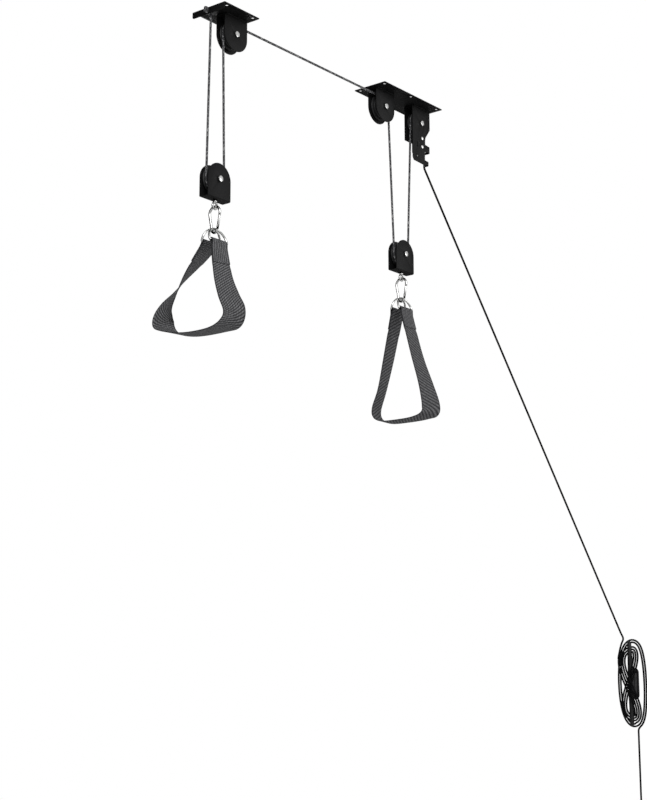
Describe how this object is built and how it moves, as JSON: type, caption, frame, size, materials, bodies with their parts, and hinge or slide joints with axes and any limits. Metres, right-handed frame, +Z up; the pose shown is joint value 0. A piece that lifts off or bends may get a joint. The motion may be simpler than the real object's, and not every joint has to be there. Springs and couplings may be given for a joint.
{
  "type": "bike ceiling hoist",
  "caption": "Ceiling-mounted bicycle hoist: pulley brackets, hanging blocks with snap hooks and webbing slings, a braided rope with a cam lock, and a wall cleat.",
  "frame": {"origin": "middle of the rear bracket's ceiling face", "axes": "+X from the front bracket to the rear bracket and on to the wall, +Y away from the near cheeks, +Z up into the ceiling"},
  "size_m": [1.8947, 0.2791, 1.8819],
  "materials": {
    "black_steel": "satin black powder coat",
    "cast_black": "satin black paint",
    "zinc": "bright zinc plate",
    "cam_steel": "plain zinc plate",
    "sheave_nylon": "moulded black nylon",
    "rope": "braided dark grey polyester with light flecks",
    "webbing": "twill-woven dark grey webbing"
  },
  "bodies": {
    "hoist_frame": {"front_plate": "black_steel", "front_channel": "black_steel", "front_axle_bolt": "zinc", "front_axle_nut": "zinc", "rear_plate": "black_steel", "rear_inner_channel": "black_steel", "rear_lock_channel": "black_steel", "rear_axle_bolts": "zinc", "rear_axle_nuts": "zinc", "lock_pins": "zinc", "wall_cleat": "cast_black", "rope_anchor": "rope", "rope_overhead": "rope", "rope_lock_run": "rope", "rope_to_cleat": "rope", "rope_winding": "rope", "rope_tail": "rope", "rope_front_left": "rope", "rope_front_right": "rope", "rope_rear_left": "rope", "rope_rear_right": "rope"},
    "front_sheave": {"front_sheave": "sheave_nylon"},
    "rear_inner_sheave": {"rear_inner_sheave": "sheave_nylon"},
    "rear_outer_sheave": {"rear_outer_sheave": "sheave_nylon"},
    "lock_cam": {"lock_cam": "cam_steel"},
    "front_block": {"front_block": "black_steel", "front_block_bolt": "zinc", "front_block_nut": "zinc", "rope_front_bight": "rope"},
    "front_block_sheave": {"front_block_sheave": "sheave_nylon"},
    "front_eye": {"front_eye": "zinc"},
    "front_hook": {"front_hook": "zinc", "front_gate_pin": "zinc"},
    "front_gate": {"front_gate": "zinc"},
    "front_sling": {"front_strap": "webbing", "front_ring_near": "zinc", "front_ring_far": "zinc"},
    "rear_block": {"rear_block": "black_steel", "rear_block_bolt": "zinc", "rear_block_nut": "zinc", "rope_rear_bight": "rope"},
    "rear_block_sheave": {"rear_block_sheave": "sheave_nylon"},
    "rear_eye": {"rear_eye": "zinc"},
    "rear_hook": {"rear_hook": "zinc", "rear_gate_pin": "zinc"},
    "rear_gate": {"rear_gate": "zinc"},
    "rear_sling": {"rear_strap": "webbing", "rear_ring_near": "zinc", "rear_ring_far": "zinc"}
  },
  "joints": [
    {"name": "front_lift", "type": "slide", "parent": "hoist_frame", "child": "front_block", "axis": [0, 0, 1], "range_m": [-1, 0.22], "deforming": ["rope_front_left", "rope_front_right"]},
    {"name": "rear_lift", "type": "slide", "parent": "hoist_frame", "child": "rear_block", "axis": [0, 0, 1], "range_m": [-1, 0.22], "deforming": ["rope_rear_left", "rope_rear_right"]},
    {"name": "front_sheave_turn", "type": "hinge", "parent": "hoist_frame", "child": "front_sheave", "pos_m": [-0.651, 0, -0.0445], "axis": [0, 1, 0], "continuous": true},
    {"name": "rear_inner_sheave_turn", "type": "hinge", "parent": "hoist_frame", "child": "rear_inner_sheave", "pos_m": [-0.077, 0, -0.0445], "axis": [0, 1, 0], "continuous": true},
    {"name": "rear_outer_sheave_turn", "type": "hinge", "parent": "hoist_frame", "child": "rear_outer_sheave", "pos_m": [0.08, 0, -0.0445], "axis": [0, 1, 0], "continuous": true},
    {"name": "lock_cam_swing", "type": "hinge", "parent": "hoist_frame", "child": "lock_cam", "pos_m": [0.0843, 0, -0.108], "axis": [0, 1, 0], "range_deg": [0, 40], "stiffness_Nm_per_rad": 0.03, "springref_deg": -20.05},
    {"name": "front_block_sheave_turn", "type": "hinge", "parent": "front_block", "child": "front_block_sheave", "pos_m": [-0.7015, 0, -0.408], "axis": [0, 1, 0], "continuous": true},
    {"name": "front_eye_swivel", "type": "hinge", "parent": "front_block", "child": "front_eye", "pos_m": [-0.7015, 0, -0.4545], "axis": [0, 0, 1], "continuous": true},
    {"name": "front_hook_swing", "type": "hinge", "parent": "front_eye", "child": "front_hook", "pos_m": [-0.7015, 0, -0.4702], "axis": [0, 1, 0], "range_deg": [-35, 35]},
    {"name": "front_gate_swing", "type": "hinge", "parent": "front_hook", "child": "front_gate", "pos_m": [-0.7015, -0.00991, -0.51621], "axis": [1, 0, 0], "range_deg": [-22, 0], "stiffness_Nm_per_rad": 0.02, "springref_deg": 11.46},
    {"name": "front_sling_swing", "type": "hinge", "parent": "front_hook", "child": "front_sling", "pos_m": [-0.7015, 0, -0.5312], "axis": [0, 1, 0], "range_deg": [-25, 25]},
    {"name": "rear_block_sheave_turn", "type": "hinge", "parent": "rear_block", "child": "rear_block_sheave", "pos_m": [0.0015, 0, -0.421], "axis": [0, 1, 0], "continuous": true},
    {"name": "rear_eye_swivel", "type": "hinge", "parent": "rear_block", "child": "rear_eye", "pos_m": [0.0015, 0, -0.4675], "axis": [0, 0, 1], "continuous": true},
    {"name": "rear_hook_swing", "type": "hinge", "parent": "rear_eye", "child": "rear_hook", "pos_m": [0.0015, 0, -0.4832], "axis": [0, 1, 0], "range_deg": [-35, 35]},
    {"name": "rear_gate_swing", "type": "hinge", "parent": "rear_hook", "child": "rear_gate", "pos_m": [0.0015, -0.00991, -0.52921], "axis": [1, 0, 0], "range_deg": [-22, 0], "stiffness_Nm_per_rad": 0.02, "springref_deg": 11.46},
    {"name": "rear_sling_swing", "type": "hinge", "parent": "rear_hook", "child": "rear_sling", "pos_m": [0.0015, 0, -0.5442], "axis": [0, 1, 0], "range_deg": [-25, 25]}
  ],
  "couplings": [
    {"joint": "rear_lift", "follows": "front_lift", "ratio": 1},
    {"joint": "front_sheave_turn", "follows": "front_lift", "rad_per_m": 67.797},
    {"joint": "rear_inner_sheave_turn", "follows": "front_lift", "rad_per_m": 67.797},
    {"joint": "rear_outer_sheave_turn", "follows": "front_lift", "rad_per_m": 135.59},
    {"joint": "front_block_sheave_turn", "follows": "front_lift", "rad_per_m": -33.898},
    {"joint": "rear_block_sheave_turn", "follows": "front_lift", "rad_per_m": -101.69}
  ]
}
